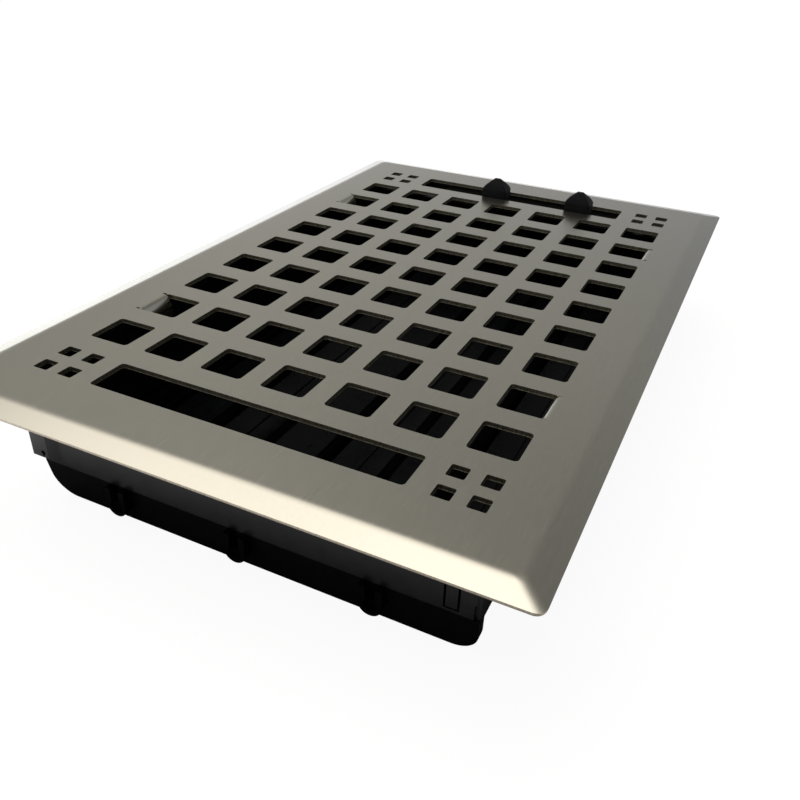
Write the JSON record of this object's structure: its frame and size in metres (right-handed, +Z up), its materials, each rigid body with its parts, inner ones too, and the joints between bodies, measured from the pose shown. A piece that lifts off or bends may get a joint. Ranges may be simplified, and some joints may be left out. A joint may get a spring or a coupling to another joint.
{
  "type": "floor register",
  "caption": "Rectangular floor register: a brushed steel grille of square holes over a black plastic louvered damper worked by thumb knobs on a slide bar.",
  "frame": {"origin": "centre of the bounding box in plan, on the plane of the damper tub's underside, which the register stands on", "axes": "+X across the register, +Y along it towards the knobs, +Z up out of the face"},
  "size_m": [0.1872, 0.2922, 0.056],
  "materials": {
    "nickel_sheet": "brushed nickel plate",
    "black_plastic": "moulded, satin",
    "gloss_black_plastic": "moulded, glossy",
    "knob_plastic": "fine texture"
  },
  "bodies": {
    "register": {"faceplate": "nickel_sheet", "damper_frame": "black_plastic", "damper_tub": "black_plastic", "clip_near_left": "black_plastic", "clip_near_middle": "black_plastic", "clip_near_right": "black_plastic", "clip_far_left": "black_plastic", "clip_far_middle": "black_plastic", "clip_far_right": "black_plastic"},
    "slider": {"slide_bar": "black_plastic", "knob_left": "knob_plastic", "knob_right": "knob_plastic"},
    "louver_left": {"blade_left": "gloss_black_plastic", "crank_left": "black_plastic"},
    "louver_middle": {"blade_middle": "gloss_black_plastic", "crank_middle": "black_plastic"},
    "louver_right": {"blade_right": "gloss_black_plastic", "crank_right": "black_plastic"}
  },
  "joints": [
    {"name": "knob_slide", "type": "slide", "parent": "register", "child": "slider", "axis": [-1, 0, 0], "range_m": [0, 0.0198]},
    {"name": "louver_left_pivot", "type": "hinge", "parent": "register", "child": "louver_left", "pos_m": [-0.044, 0, 0.0078], "axis": [0, -1, 0], "range_deg": [0, 90]},
    {"name": "louver_middle_pivot", "type": "hinge", "parent": "register", "child": "louver_middle", "pos_m": [0, 0, 0.0078], "axis": [0, -1, 0], "range_deg": [0, 90]},
    {"name": "louver_right_pivot", "type": "hinge", "parent": "register", "child": "louver_right", "pos_m": [0.044, 0, 0.0078], "axis": [0, -1, 0], "range_deg": [0, 90]}
  ],
  "couplings": [
    {"joint": "louver_left_pivot", "follows": "knob_slide", "rad_per_m": 79.3},
    {"joint": "louver_middle_pivot", "follows": "knob_slide", "rad_per_m": 79.3},
    {"joint": "louver_right_pivot", "follows": "knob_slide", "rad_per_m": 79.3}
  ]
}
